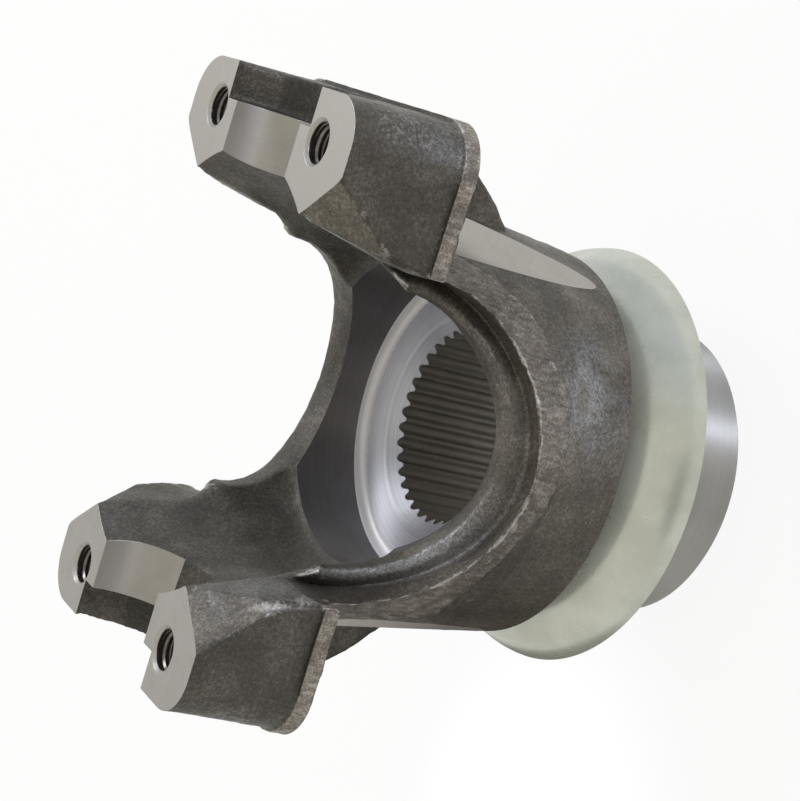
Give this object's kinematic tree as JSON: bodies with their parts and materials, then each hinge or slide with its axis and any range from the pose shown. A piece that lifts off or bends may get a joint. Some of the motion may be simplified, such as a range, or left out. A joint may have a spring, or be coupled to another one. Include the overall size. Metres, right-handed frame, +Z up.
{
  "type": "forged end yoke",
  "caption": "Forged end yoke: two ears with cap saddles and tapped strap holes, on a splined hub with a pressed dust slinger.",
  "frame": {"origin": "centre of the hub's end face, on the spline axis", "axes": "+Z up the spline axis towards the ears; +X from ear to ear along the bearing caps; Y through the open windows"},
  "size_m": [0.1218, 0.091, 0.1142],
  "materials": {
    "forged_steel": "as forged, dark brown-grey, with machined faces",
    "zinc_plated_steel": "zinc plated, smooth"
  },
  "bodies": {
    "root": {"yoke_forging": "forged_steel", "dust_slinger": "zinc_plated_steel"}
  },
  "joints": []
}
